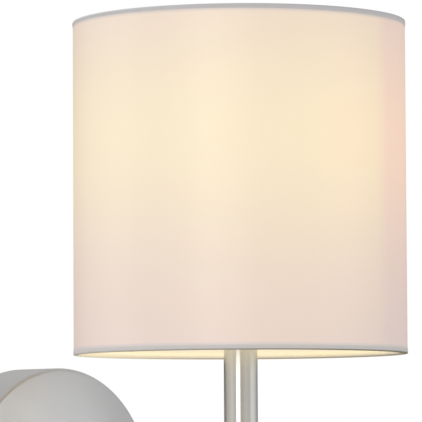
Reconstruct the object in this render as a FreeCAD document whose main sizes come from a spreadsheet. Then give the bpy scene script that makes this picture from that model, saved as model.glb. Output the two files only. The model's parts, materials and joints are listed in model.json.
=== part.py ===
"""Wall lamp on a swing arm: a round wall plate, a knuckle, a bent arm and a lit drum shade.

The frame is Z up. The origin is the centre of the wall plate's back face, the wall is the plane y = 0
and the lamp stands out from it towards -Y. All sizes are millimetres and degrees.
"""
import FreeCAD, Part
import Sketcher
import math
import os
import re

SIZES = {
    # Wall plate and the strap behind it
    "plate_diameter": 134, "plate_depth": 33, "plate_wall": 1.5, "plate_rounding": 2,
    "strap_width": 26, "strap_thickness": 2.5, "strap_end_gap": 0.5, "tab_height": 14, "tab_hole_height": 9,
    "slot_spacing": 70, "slot_length": 12, "slot_width": 4.5,
    "side_screw_diameter": 4, "side_screw_length": 8, "side_screw_head": 7, "side_screw_head_height": 1.6,
    # Terminal block and earth screw on the strap
    "block_length": 30, "block_width": 17, "block_height": 12, "block_centre_z": 7.5, "pole_pitch": 10,
    "pole_bore": 3.6, "pole_screw": 3.2, "earth_screw_x": 24, "earth_screw_diameter": 4, "earth_head": 7,
    "earth_head_height": 2, "core_diameter": 2, "core_bend": 4, "core_standoff": 3.5,
    # Rocker switch in the lower half of the plate
    "switch_margin": 23.5, "bezel_width": 15, "bezel_height": 21, "bezel_thickness": 2, "bezel_chamfer": 0.8,
    "switch_width": 13, "switch_height": 19, "switch_depth": 16, "rocker_width": 10, "rocker_height": 16,
    "rocker_gap": 0.4, "rocker_rise": 2.4, "rocker_depth": 3, "rocker_tilt": 12, "rocker_well": 7,
    "rocker_pin": 1.5, "rocker_pin_seat": 0.9,
    "spade_width": 4.8, "spade_thickness": 0.8, "spade_length": 5, "spade_pitch": 10,
    # Neck between the plate and the knuckle
    "neck_diameter": 16, "neck_bore": 9, "neck_thread": 12, "flange_diameter": 30, "flange_thickness": 3,
    "flange_chamfer": 1, "neck_nut_flats": 17, "neck_nut_thickness": 5, "neck_washer_diameter": 24,
    "neck_washer_thickness": 1,
    # Knuckle
    "pivot_standoff": 30, "barrel_diameter": 28, "barrel_height": 24, "barrel_wall": 4, "barrel_floor": 3,
    "barrel_chamfer": 0.8, "joint_chamfer": 0.5,
    "friction_thickness": 1.5, "wave_thickness": 1, "wave_diameter": 16,
    "nipple_diameter": 10, "nipple_bore": 6.8, "nipple_end": 0.5, "nut_flats": 14, "nut_thickness": 4,
    "cap_thickness": 3, "cap_spigot": 2.5, "cap_chamfer": 1.2, "swing_limit": 70, "stop_diameter": 2.5,
    "stop_circle": 20, "stop_rise": 1.8, "stop_spare_angle": 2,
    # Arm, elbow and stem
    "stem_reach": 144, "tube_diameter": 18, "tube_wall": 1, "elbow_height": 30, "tube_socket": 8,
    "elbow_screw_diameter": 4, "cable_diameter": 5, "cable_bend": 6,
    # Lampholder
    "shade_bottom": 71, "holder_inset": 5, "holder_diameter": 39, "holder_wall": 2, "holder_cap_height": 16,
    "holder_body_height": 38, "holder_chamfer": 2.5, "bush_length": 8, "seat_height": 12, "shell_wall": 0.6,
    "shell_height": 23, "contact_diameter": 7, "contact_height": 2.5, "clamp_diameter": 56, "clamp_height": 4,
    "clamp_offset": 3, "fitter_thickness": 2, "fitter_width": 11,
    # Shade
    "shade_diameter": 178, "shade_height": 178, "fabric_thickness": 0.6, "liner_thickness": 0.5,
    "glue_gap": 0.1, "trim_thickness": 0.4, "trim_height": 2.6, "wire_diameter": 3, "spoke_diameter": 3,
    "spoke_bend": 8,
    # Bulb
    "bulb_length": 108, "bulb_diameter": 60, "bulb_cap_diameter": 26.2, "bulb_cap_height": 21,
    "bulb_tip_height": 2, "bulb_tip_diameter": 9, "bulb_glass_height": 3, "bulb_neck_diameter": 29,
    "dome_wall": 1.2, "bulb_wall": 1.6, "dome_below_centre": 12, "board_thickness": 1.6, "driver_height": 20,
    "driver_width": 16,
    # Clearances
    "running_clearance": 0.05, "fit_clearance": 0.1, "hole_clearance": 0.25,
}

# Places and fits that follow from the sizes, as formulas of the sheet's cells
JOINT_HALF = "(friction_thickness / 2)"
PIVOT_Y = "(-(plate_depth + pivot_standoff))"
STEM_Y = "(-(plate_depth + stem_reach))"
ARM_Z = "(friction_thickness / 2 + barrel_height / 2)"
NECK_Z = "(-(friction_thickness / 2 + barrel_height / 2))"
BARREL_END = "(friction_thickness / 2 + barrel_height)"
FLOOR_END = "(friction_thickness / 2 + barrel_floor)"
NIPPLE_TOP = "(friction_thickness / 2 + barrel_floor + wave_thickness + nut_thickness + nipple_end)"
NIPPLE_FOOT = "(-(friction_thickness / 2 + barrel_floor + nut_thickness + nipple_end))"
NIPPLE_FIT_R = "(nipple_diameter / 2 + fit_clearance)"
NECK_BACK_Y = "(-(plate_depth - plate_wall - neck_washer_thickness - neck_nut_thickness - nipple_end))"
BARREL_R = "(barrel_diameter / 2)"
BORE_R = "(barrel_diameter / 2 - barrel_wall)"
TUBE_R = "(tube_diameter / 2)"
TUBE_BORE_R = "(tube_diameter / 2 - tube_wall)"
ELBOW_BASE = JOINT_HALF
ELBOW_TOP = "(friction_thickness / 2 + elbow_height)"
PLATE_R = "(plate_diameter / 2)"
PLATE_INNER_R = "(plate_diameter / 2 - plate_wall)"
TAB_OUTER_X = "(sqrt((plate_diameter / 2 - plate_wall) ^ 2 - strap_width ^ 2 / 4) - strap_end_gap)"
BLOCK_BOTTOM_Z = "(block_centre_z - block_width / 2)"
CORE_Y = "(-(strap_thickness + core_standoff))"
SWITCH_DROP = "(plate_diameter / 2 - switch_margin)"
SWITCH_BACK_Y = "(switch_depth - plate_depth)"
SHADE_TOP = "(shade_bottom + shade_height)"
SHADE_R = "(shade_diameter / 2)"
LINER_R = "(shade_diameter / 2 - fabric_thickness - glue_gap)"
LINER_INNER_R = f"({LINER_R} - liner_thickness)"
WIRE_CIRCLE_R = f"({LINER_INNER_R} - glue_gap - wire_diameter / 2)"
TRIM_INNER_R = f"({WIRE_CIRCLE_R} - wire_diameter / 2 - glue_gap)"
STEM_TOP = "(shade_bottom + holder_inset)"
BODY_BASE = "(shade_bottom + holder_inset + holder_cap_height)"
HOLDER_R = "(holder_diameter / 2)"
HOLDER_BORE_R = "(holder_diameter / 2 - holder_wall)"
CLAMP_Z = f"({BODY_BASE} + clamp_offset)"
FITTER_Z = f"({BODY_BASE} + clamp_offset + clamp_height)"
SEAT_TOP = f"({BODY_BASE} + seat_height)"
BULB_BASE = f"({SEAT_TOP} + contact_height)"
BULB_CAP_Z = f"({BULB_BASE} + bulb_tip_height + bulb_glass_height)"
BULB_BODY_Z = f"({BULB_CAP_Z} + bulb_cap_height)"
BULB_R = "(bulb_diameter / 2)"
DOME_CENTRE_Z = f"({BULB_BASE} + bulb_length - bulb_diameter / 2)"
DOME_Z = f"({DOME_CENTRE_Z} - dome_below_centre)"
DOME_EDGE_R = "sqrt(bulb_diameter ^ 2 / 4 - dome_below_centre ^ 2)"

DIRECTIONS = {
    "+X": (1, 0, 0), "-X": (-1, 0, 0), "+Y": (0, 1, 0), "-Y": (0, -1, 0), "+Z": (0, 0, 1), "-Z": (0, 0, -1),
}

doc = FreeCAD.newDocument("WallLamp")
sheet = doc.addObject("Spreadsheet::Sheet", "Sizes")
nodes = []


# ---- Tools of the trade ----

def fill_sheet():
    for row, (alias, size) in enumerate(SIZES.items(), start=1):
        sheet.set(f"A{row}", alias)
        sheet.set(f"B{row}", str(size))
        sheet.setAlias(f"B{row}", alias)
    doc.recompute()


def formula(text):
    """The text with every size's name pointing at its cell."""
    return re.sub(r"[a-z_]+", lambda word: "Sizes." + word[0] if word[0] in SIZES else word[0], str(text))


def value(text):
    """What a formula comes to, as a plain number."""
    result = sheet.evalExpression(re.sub(r"Sizes\.", "", formula(text)))
    return float(getattr(result, "Value", result))


def bind(thing, **properties):
    for name, text in properties.items():
        thing.setExpression(name, formula(text))


def place(thing, at, along="+Z", spin=0, tip=0):
    """Spins the thing about its own Z axis, turns that axis to a direction, tips it about the X axis of
    the lamp, and ties its place to the sheet."""
    turn = FreeCAD.Rotation(FreeCAD.Vector(0, 0, 1), FreeCAD.Vector(*DIRECTIONS[along]))
    spun = FreeCAD.Rotation(FreeCAD.Vector(0, 0, 1), value(spin))
    tipped = FreeCAD.Rotation(FreeCAD.Vector(1, 0, 0), value(tip))
    corner = FreeCAD.Vector(*[value(part) for part in at])
    thing.Placement = FreeCAD.Placement(corner, tipped * turn * spun)
    for letter, part in zip("xyz", at):
        thing.setExpression(f"Placement.Base.{letter}", formula(part))
    return thing


def node(thing, label):
    """Names a finished sub-part."""
    thing.Label = label
    nodes.append(thing)
    return thing


def cylinder(radius, length, at, along="+Z"):
    rod = doc.addObject("Part::Cylinder", "Rod")
    bind(rod, Radius=radius, Height=length)
    return place(rod, at, along)


def block(size, at):
    """A box from its lowest corner."""
    brick = doc.addObject("Part::Box", "Brick")
    bind(brick, Length=size[0], Width=size[1], Height=size[2])
    return place(brick, at)


def hexagon(flats, length, at, along="+Z"):
    prism = doc.addObject("Part::Prism", "Hexagon")
    prism.Polygon = 6
    bind(prism, Circumradius=f"{flats} / sqrt(3)", Height=length)
    return place(prism, at, along)


def cut(base, *tools):
    for tool in tools:
        result = doc.addObject("Part::Cut", "Cut")
        result.Base = base
        result.Tool = tool
        base = result
    return base


def fuse(*pieces):
    result = doc.addObject("Part::MultiFuse", "Fuse")
    result.Shapes = list(pieces)
    result.Refine = True
    return result


def group(*pieces):
    result = doc.addObject("Part::Compound", "Group")
    result.Links = list(pieces)
    return result


def outline(body, plane, corners):
    """A closed sketch of straight lines on a plane of the body, with (across, up) corners from the sheet."""
    sketch = body.newObject("Sketcher::SketchObject", "Outline")
    sketch.AttachmentSupport = [(next(f for f in body.Origin.OriginFeatures if f.Role == plane), "")]
    sketch.MapMode = "FlatFace"
    points = [FreeCAD.Vector(value(across), value(up), 0) for across, up in corners]
    count = len(points)
    sketch.addGeometry([Part.LineSegment(points[i], points[(i + 1) % count]) for i in range(count)], False)
    for i, (across, up) in enumerate(corners):
        sketch.addConstraint(Sketcher.Constraint("Coincident", (i - 1) % count, 2, i, 1))
        first = sketch.addConstraint(Sketcher.Constraint("DistanceX", i, 1, points[i].x))
        second = sketch.addConstraint(Sketcher.Constraint("DistanceY", i, 1, points[i].y))
        sketch.setExpression(f"Constraints[{first}]", formula(across))
        sketch.setExpression(f"Constraints[{second}]", formula(up))
    return sketch


def turned(profile, at, along="+Z", sweep="360", spin=0):
    """A body of revolution about its own Z axis, from (radius, height) corners, swept to both sides of X."""
    body = doc.addObject("PartDesign::Body", "Turned")
    profile_sketch = outline(body, "XZ_Plane", profile)
    turn = body.newObject("PartDesign::Revolution", "Turn")
    turn.Profile = profile_sketch
    turn.ReferenceAxis = (profile_sketch, ["V_Axis"])
    turn.Midplane = True
    bind(turn, Angle=sweep)
    body.Tip = turn
    return place(body, at, along, spin)


def ring(outer, inner, length, at, along="+Z"):
    return turned([(inner, 0), (outer, 0), (outer, length), (inner, length)], at, along)


def round_rim(body, radius, height, rounding):
    """Rounds the circular edge of a turned body at that radius and height."""
    doc.recompute()
    base = body.Tip
    names = []
    for number, edge in enumerate(base.Shape.Edges, start=1):
        middle = edge.BoundBox.Center
        if isinstance(edge.Curve, Part.Circle) and abs(edge.Curve.Radius - value(radius)) < 1e-4 \
                and abs(middle.z - value(height)) < 1e-4:
            names.append(f"Edge{number}")
    rounded = body.newObject("PartDesign::Fillet", "Rounding")
    rounded.Base = (base, names)
    bind(rounded, Radius=rounding)
    body.Tip = rounded
    return body


def padded(corners, depth, at, along="+Z", spin=0, tip=0):
    """A straight-sided body: a closed outline of (across, up) corners, padded along its own Z axis."""
    body = doc.addObject("PartDesign::Body", "Padded")
    pad = body.newObject("PartDesign::Pad", "Pad")
    pad.Profile = outline(body, "XY_Plane", corners)
    bind(pad, Length=depth)
    body.Tip = pad
    return place(body, at, along, spin, tip)


def bevel_end(body, height, size):
    """Bevels the outline of the flat end that a padded body has at that height."""
    doc.recompute()
    base = body.Tip
    end = next(number for number, face in enumerate(base.Shape.Faces, start=1)
               if abs(face.BoundBox.ZMin - value(height)) < 1e-4 and face.BoundBox.ZLength < 1e-4)
    bevel = body.newObject("PartDesign::Chamfer", "Bevel")
    bevel.Base = (base, [f"Face{end}"])
    bind(bevel, Size=size)
    body.Tip = bevel
    return body


def rounded_path(points, bend):
    """Straight runs joined by tangent arcs, each of the bend's radius or as large as its runs allow."""
    points = [FreeCAD.Vector(*point) for point in points]
    edges = []
    start = points[0]
    for before, corner, after in zip(points, points[1:], points[2:]):
        into = (corner - before).normalize()
        out = (after - corner).normalize()
        half_turn = into.getAngle(out) / 2
        room = 0.45 * min((corner - before).Length, (after - corner).Length)
        setback = min(bend * math.tan(half_turn), room)
        radius = setback / math.tan(half_turn)
        first = corner - into * setback
        last = corner + out * setback
        inward = (out - into).normalize()
        middle = corner + inward * (radius / math.cos(half_turn) - radius)
        edges += [Part.LineSegment(start, first).toShape(), Part.Arc(first, middle, last).toShape()]
        start = last
    edges.append(Part.LineSegment(start, points[-1]).toShape())
    return Part.Wire(edges)


def swept(points, diameter, bend):
    """A round wire along a rounded path. Points hold formulas of the sheet."""
    path = rounded_path([[value(part) for part in point] for point in points], value(bend))
    start = path.Edges[0].valueAt(path.Edges[0].FirstParameter)
    direction = path.Edges[0].tangentAt(path.Edges[0].FirstParameter)
    section = Part.Wire([Part.makeCircle(value(diameter) / 2, start, direction)])
    wire = doc.addObject("Part::Feature", "Swept")
    wire.Shape = path.makePipeShell([section], True, False)
    return wire


# ---- Wall side ----

def wall_plate():
    """A shallow round pan, open to the wall, with holes for the neck, the side screws and the switch."""
    pan = turned([
        (0, "plate_depth - plate_wall"), (PLATE_INNER_R, "plate_depth - plate_wall"), (PLATE_INNER_R, 0),
        (PLATE_R, 0), (PLATE_R, "plate_depth"), (0, "plate_depth"),
    ], (0, 0, 0), "-Y")
    round_rim(pan, PLATE_R, "plate_depth", "plate_rounding")
    neck_hole = cylinder("neck_thread / 2 + fit_clearance", "plate_wall * 2",
                         (0, "-(plate_depth - plate_wall * 1.5)", NECK_Z), "-Y")
    screw_holes = [
        cylinder("side_screw_diameter / 2 + hole_clearance", "plate_wall * 4",
                 (f"{side} * ({PLATE_R} - plate_wall * 3)", "-tab_hole_height", 0), direction)
        for side, direction in ((1, "+X"), (-1, "-X"))
    ]
    window = block(
        ("switch_width + 2 * fit_clearance", "plate_wall * 2", "switch_height + 2 * fit_clearance"),
        ("-(switch_width / 2 + fit_clearance)", "-(plate_depth + plate_wall / 2)",
         f"-({SWITCH_DROP} + switch_height / 2 + fit_clearance)"))
    return node(cut(pan, neck_hole, *screw_holes, window), "wall_plate")


def mounting_strap():
    """A flat bar with two wall slots and a threaded tab bent out at each end."""
    bar = block((f"2 * {TAB_OUTER_X}", "strap_thickness", "strap_width"),
                (f"-{TAB_OUTER_X}", "-strap_thickness", "-strap_width / 2"))
    tabs = [
        block(("strap_thickness", "tab_height", "strap_width / 2"),
              (corner, "-tab_height", "-strap_width / 4"))
        for corner in (f"-{TAB_OUTER_X}", f"{TAB_OUTER_X} - strap_thickness")
    ]
    tools = []
    for side in (1, -1):
        centre = f"{side} * slot_spacing / 2"
        half_run = "(slot_length - slot_width) / 2"
        for end in (1, -1):
            tools.append(cylinder("slot_width / 2", "strap_thickness * 2",
                                  (f"{centre} + {end} * {half_run}", "strap_thickness / 2", 0), "-Y"))
        tools.append(block(("slot_length - slot_width", "strap_thickness * 2", "slot_width"),
                           (f"{centre} - {half_run}", "-strap_thickness * 1.5", "-slot_width / 2")))
    for corner in (f"-{TAB_OUTER_X} - strap_thickness / 2", f"{TAB_OUTER_X} - strap_thickness * 1.5"):
        tools.append(cylinder("side_screw_diameter / 2", "strap_thickness * 2",
                              (corner, "-tab_hole_height", 0), "+X"))
    tools.append(cylinder("earth_screw_diameter / 2", "strap_thickness * 2",
                          ("-earth_screw_x", "strap_thickness / 2", 0), "-Y"))
    return node(cut(fuse(bar, *tabs), *tools), "mounting_strap")


def side_screws():
    """Two pan-head screws that hold the plate to the strap's tabs."""
    screws = []
    for side, direction in ((1, "-X"), (-1, "+X")):
        profile = [
            (0, 0), ("side_screw_head / 2 - side_screw_head_height / 2", 0),
            ("side_screw_head / 2", "side_screw_head_height / 2"),
            ("side_screw_head / 2", "side_screw_head_height"),
            ("side_screw_diameter / 2", "side_screw_head_height"),
            ("side_screw_diameter / 2", "side_screw_head_height + side_screw_length"),
            (0, "side_screw_head_height + side_screw_length"),
        ]
        head_x = f"{side} * ({PLATE_R} + side_screw_head_height)"
        screws.append(turned(profile, (head_x, "-tab_hole_height", 0), direction))
    return node(group(*screws), "plate_screws")


def terminals():
    """The three-pole terminal block, its screws, and the strap's earth screw."""
    body = block(("block_length", "block_height", "block_width"),
                 ("-block_length / 2", "-(strap_thickness + block_height)", BLOCK_BOTTOM_Z))
    tools = []
    screws = []
    for pole in (-1, 0, 1):
        centre = f"{pole} * pole_pitch"
        tools.append(cylinder("pole_bore / 2", "block_width / 2",
                              (centre, "-(strap_thickness + block_height / 2)", "block_centre_z"), "+Z"))
        for row in (-1, 1):
            spot = f"block_centre_z + {row} * block_width / 4"
            tools.append(cylinder("pole_screw / 2", "block_height / 2",
                                  (centre, "-(strap_thickness + block_height / 2)", spot), "-Y"))
            screws.append(cylinder("pole_screw / 2", "block_height / 4",
                                   (centre, "-(strap_thickness + block_height / 2)", spot), "-Y"))
    node(cut(body, *tools), "terminal_block")
    node(group(*screws), "terminal_screws")
    earth = turned([
        (0, 0), ("earth_screw_diameter / 2", 0), ("earth_screw_diameter / 2", "strap_thickness"),
        ("earth_head / 2", "strap_thickness"), ("earth_head / 2", "strap_thickness + earth_head_height"),
        (0, "strap_thickness + earth_head_height"),
    ], ("-earth_screw_x", 0, 0), "-Y")
    node(earth, "earth_screw")


def leads():
    """Single cores inside the plate, each from a metal part to a face of the terminal block."""
    earth_y = "-(strap_thickness + block_height / 2)"
    node(swept([
        ("-earth_screw_x", "-(strap_thickness + earth_head_height)", 0), ("-earth_screw_x", earth_y, 0),
        ("-earth_screw_x", earth_y, "block_centre_z"), ("-block_length / 2", earth_y, "block_centre_z"),
    ], "core_diameter", "core_bend"), "earth_lead")
    for side, name in ((1, "switch_lead_live"), (-1, "switch_lead_lamp")):
        tab_z = f"-({SWITCH_DROP} - {side} * spade_pitch / 2)"
        column = f"{side} * pole_pitch"
        node(swept([
            (f"{side} * spade_thickness / 2", CORE_Y, tab_z), (column, CORE_Y, tab_z),
            (column, CORE_Y, BLOCK_BOTTOM_Z),
        ], "core_diameter", "core_bend"), name)


def switch():
    """A rocker switch: the housing with bezel and well, the pin, two spade tabs, and the tipped rocker."""
    bezel = bevel_end(padded([
        ("-bezel_width / 2", "-bezel_height / 2"), ("bezel_width / 2", "-bezel_height / 2"),
        ("bezel_width / 2", "bezel_height / 2"), ("-bezel_width / 2", "bezel_height / 2"),
    ], "bezel_thickness", (0, "-plate_depth", f"-{SWITCH_DROP}"), "-Y"), "bezel_thickness", "bezel_chamfer")
    body = block(("switch_width", "switch_depth", "switch_height"),
                 ("-switch_width / 2", "-plate_depth", f"-({SWITCH_DROP} + switch_height / 2)"))
    well = block(("rocker_width + 2 * rocker_gap", "rocker_well", "rocker_height + 2 * rocker_gap"),
                 ("-(rocker_width / 2 + rocker_gap)", "-(plate_depth + bezel_thickness)",
                  f"-({SWITCH_DROP} + rocker_height / 2 + rocker_gap)"))
    pin_length = "rocker_width + 2 * rocker_gap + 2 * rocker_pin_seat"
    pin_at = ("-(rocker_width / 2 + rocker_gap + rocker_pin_seat)", "-plate_depth", f"-{SWITCH_DROP}")
    pin = cylinder("rocker_pin / 2", pin_length, pin_at, "+X")
    pin_seat = cylinder("rocker_pin / 2 + running_clearance", pin_length, pin_at, "+X")
    node(cut(fuse(bezel, body), well, pin_seat), "switch_housing")
    node(pin, "switch_pin")
    tabs = [
        block(("spade_thickness", "spade_length", "spade_width"),
              ("-spade_thickness / 2", SWITCH_BACK_Y,
               f"-({SWITCH_DROP} - {side} * spade_pitch / 2 + spade_width / 2)"))
        for side in (1, -1)
    ]
    node(group(*tabs), "switch_tabs")
    rocker = padded([
        ("-rocker_height / 2", "-rocker_depth / 2"), ("-rocker_height / 4", "-rocker_depth"),
        ("rocker_height / 4", "-rocker_depth"), ("rocker_height / 2", "-rocker_depth / 2"),
        ("rocker_height / 2", "rocker_rise"), (0, "rocker_rise / 2"), ("-rocker_height / 2", "rocker_rise"),
    ], "rocker_width", ("-rocker_width / 2", "-plate_depth", f"-{SWITCH_DROP}"), "+X", 180, "-rocker_tilt")
    node(cut(rocker, pin_seat), "switch_rocker")


# ---- Neck and fixed half of the knuckle ----

def neck():
    """A hollow neck: a thread through the plate, a flange on its face, and a shank into the lower barrel."""
    flange_at = "(plate_wall + neck_washer_thickness + neck_nut_thickness + nipple_end)"
    shank_at = f"({flange_at} + flange_thickness)"
    shank_end = f"({flange_at} + pivot_standoff - {BORE_R})"
    node(turned([
        ("neck_bore / 2", 0), ("neck_thread / 2", 0), ("neck_thread / 2", flange_at),
        ("flange_diameter / 2", flange_at), ("flange_diameter / 2", f"{shank_at} - flange_chamfer"),
        ("flange_diameter / 2 - flange_chamfer", shank_at),
        ("neck_diameter / 2", shank_at), ("neck_diameter / 2", shank_end), ("neck_bore / 2", shank_end),
    ], (0, NECK_BACK_Y, NECK_Z), "-Y"), "neck")
    plate_back = "(-(plate_depth - plate_wall))"
    node(ring("neck_washer_diameter / 2", "neck_thread / 2 + fit_clearance", "neck_washer_thickness",
              (0, plate_back, NECK_Z), "+Y"), "neck_washer")
    nut_at = (0, f"{plate_back} + neck_washer_thickness", NECK_Z)
    node(cut(hexagon("neck_nut_flats", "neck_nut_thickness", nut_at, "+Y"),
             cylinder("neck_thread / 2 + fit_clearance", "neck_nut_thickness", nut_at, "+Y")), "neck_nut")


def barrel_cup(bore, along):
    """A knuckle barrel: a cup whose floor lies at the joint, with a bore through the floor for the nipple."""
    joint = JOINT_HALF if along == "+Z" else f"-{JOINT_HALF}"
    return turned([
        (bore, 0), (f"{BARREL_R} - joint_chamfer", 0), (BARREL_R, "joint_chamfer"),
        (BARREL_R, "barrel_height"), (BORE_R, "barrel_height"), (BORE_R, "barrel_floor"),
        (bore, "barrel_floor"),
    ], (0, PIVOT_Y, joint), along)


def end_cap(spigot, at, along):
    """A bevelled disc with a spigot that closes the end of a barrel."""
    return turned([
        (0, "-cap_spigot"), (spigot, "-cap_spigot"), (spigot, 0), (BARREL_R, 0),
        (BARREL_R, "cap_thickness - cap_chamfer"), (f"{BARREL_R} - cap_chamfer", "cap_thickness"),
        (0, "cap_thickness"),
    ], at, along)


def lower_barrel():
    neck_hole = cylinder("neck_diameter / 2 + fit_clearance", "barrel_diameter", (0, PIVOT_Y, NECK_Z), "+Y")
    pin_hole = cylinder("stop_diameter / 2 + fit_clearance", "barrel_floor",
                        (0, f"{PIVOT_Y} + stop_circle / 2", f"-{FLOOR_END}"))
    node(cut(barrel_cup(NIPPLE_FIT_R, "-Z"), neck_hole, pin_hole), "lower_barrel")
    node(end_cap(f"{BORE_R} - fit_clearance", (0, PIVOT_Y, f"-{BARREL_END}"), "-Z"), "lower_cap")


def pivot():
    """The hollow nipple that the arm turns on, its nuts and washers, and the pin that stops the swing."""
    node(ring("nipple_diameter / 2", "nipple_bore / 2", f"{NIPPLE_TOP} - {NIPPLE_FOOT}",
              (0, PIVOT_Y, NIPPLE_FOOT)), "pivot_nipple")
    for name, height, along in (
        ("pivot_nut_lower", f"-{FLOOR_END}", "-Z"),
        ("pivot_nut_upper", f"{FLOOR_END} + wave_thickness", "+Z"),
    ):
        nut_at = (0, PIVOT_Y, height)
        node(cut(hexagon("nut_flats", "nut_thickness", nut_at, along),
                 cylinder(NIPPLE_FIT_R, "nut_thickness", nut_at, along)), name)
    node(ring("wave_diameter / 2", NIPPLE_FIT_R, "wave_thickness", (0, PIVOT_Y, FLOOR_END)), "wave_washer")
    pin_y = f"{PIVOT_Y} + stop_circle / 2"
    washer = ring(f"{BARREL_R} - hole_clearance", NIPPLE_FIT_R, "friction_thickness",
                  (0, PIVOT_Y, f"-{JOINT_HALF}"))
    node(cut(washer, cylinder("stop_diameter / 2 + fit_clearance", "friction_thickness",
                              (0, pin_y, f"-{JOINT_HALF}"))), "friction_washer")
    node(cylinder("stop_diameter / 2", "barrel_floor + friction_thickness + stop_rise",
                  (0, pin_y, f"-{FLOOR_END}")), "stop_pin")


# ---- Swinging side ----

def upper_barrel():
    """The turning barrel, with the arm's socket and an arc-shaped groove that lets the stop pin pass."""
    socket = cylinder(f"{TUBE_R} + fit_clearance", "barrel_diameter", (0, PIVOT_Y, ARM_Z), "-Y")
    half_width = "(stop_diameter / 2 + hole_clearance)"
    depth = "(stop_rise + hole_clearance)"
    reach = f"2 * (swing_limit + stop_spare_angle + 180 / pi * {half_width} / (stop_circle / 2))"
    groove = turned([
        (f"stop_circle / 2 - {half_width}", 0), (f"stop_circle / 2 + {half_width}", 0),
        (f"stop_circle / 2 + {half_width}", depth), (f"stop_circle / 2 - {half_width}", depth),
    ], (0, PIVOT_Y, JOINT_HALF), "+Z", reach, 90)
    node(cut(barrel_cup("nipple_diameter / 2 + running_clearance", "+Z"), socket, groove), "upper_barrel")
    node(end_cap(f"{BORE_R} - fit_clearance", (0, PIVOT_Y, BARREL_END), "+Z"), "upper_cap")


def arm():
    """The level tube, the cast elbow with its cap and set screw, and the upright stem."""
    elbow_side = f"({BARREL_R} - tube_socket)"
    node(ring(TUBE_R, TUBE_BORE_R, f"stem_reach - pivot_standoff - {BORE_R} - hole_clearance - {elbow_side}",
              (0, f"{PIVOT_Y} - {BORE_R} - hole_clearance", ARM_Z), "-Y"), "arm_tube")
    socket_r = f"({TUBE_R} + fit_clearance)"
    casting = turned([
        (TUBE_BORE_R, 0), (BARREL_R, 0), (BARREL_R, "elbow_height - barrel_chamfer"),
        (f"{BARREL_R} - barrel_chamfer", "elbow_height"), (socket_r, "elbow_height"),
        (socket_r, "elbow_height - tube_socket"), (TUBE_BORE_R, "elbow_height - tube_socket"),
    ], (0, STEM_Y, ELBOW_BASE))
    side_socket = cylinder(socket_r, "barrel_diameter", (0, f"{STEM_Y} + {elbow_side}", ARM_Z), "+Y")
    screw_z = f"{ELBOW_TOP} - tube_socket / 2"
    screw_hole = cylinder("elbow_screw_diameter / 2 + fit_clearance", BARREL_R, (0, STEM_Y, screw_z), "+Y")
    node(cut(casting, side_socket, screw_hole), "elbow")
    node(end_cap(f"{TUBE_BORE_R} - fit_clearance", (0, STEM_Y, ELBOW_BASE), "-Z"), "elbow_cap")
    screw_start = f"{STEM_Y} + {TUBE_R} + fit_clearance"
    screw = cylinder("elbow_screw_diameter / 2", f"{BARREL_R} - {TUBE_R} - 2 * fit_clearance",
                     (0, screw_start, screw_z), "+Y")
    key = hexagon("elbow_screw_diameter / 2", BARREL_R,
                  (0, f"{STEM_Y} + {BARREL_R} - elbow_screw_diameter / 2", screw_z), "+Y")
    node(cut(screw, key), "elbow_screw")
    stem_foot = f"({ELBOW_TOP} - tube_socket)"
    node(ring(TUBE_R, TUBE_BORE_R, f"{STEM_TOP} - {stem_foot}", (0, STEM_Y, stem_foot)), "stem_tube")


def cables():
    """One sheathed cable in two lengths that meet on the pivot axis, where it twists as the arm swings."""
    block_y = "-(strap_thickness + block_height / 2)"
    node(swept([
        (0, block_y, BLOCK_BOTTOM_Z), (0, block_y, NECK_Z), (0, PIVOT_Y, NECK_Z), (0, PIVOT_Y, 0),
    ], "cable_diameter", "cable_bend"), "cable_in_neck")
    high = f"{ARM_Z} + {TUBE_BORE_R} - cable_diameter / 2 - 2"
    node(swept([
        (0, PIVOT_Y, 0), (0, PIVOT_Y, high), (0, STEM_Y, f"{ARM_Z} - 2"), (0, STEM_Y, BODY_BASE),
    ], "cable_diameter", "cable_bend"), "cable_in_arm")


# ---- Lampholder ----

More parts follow.
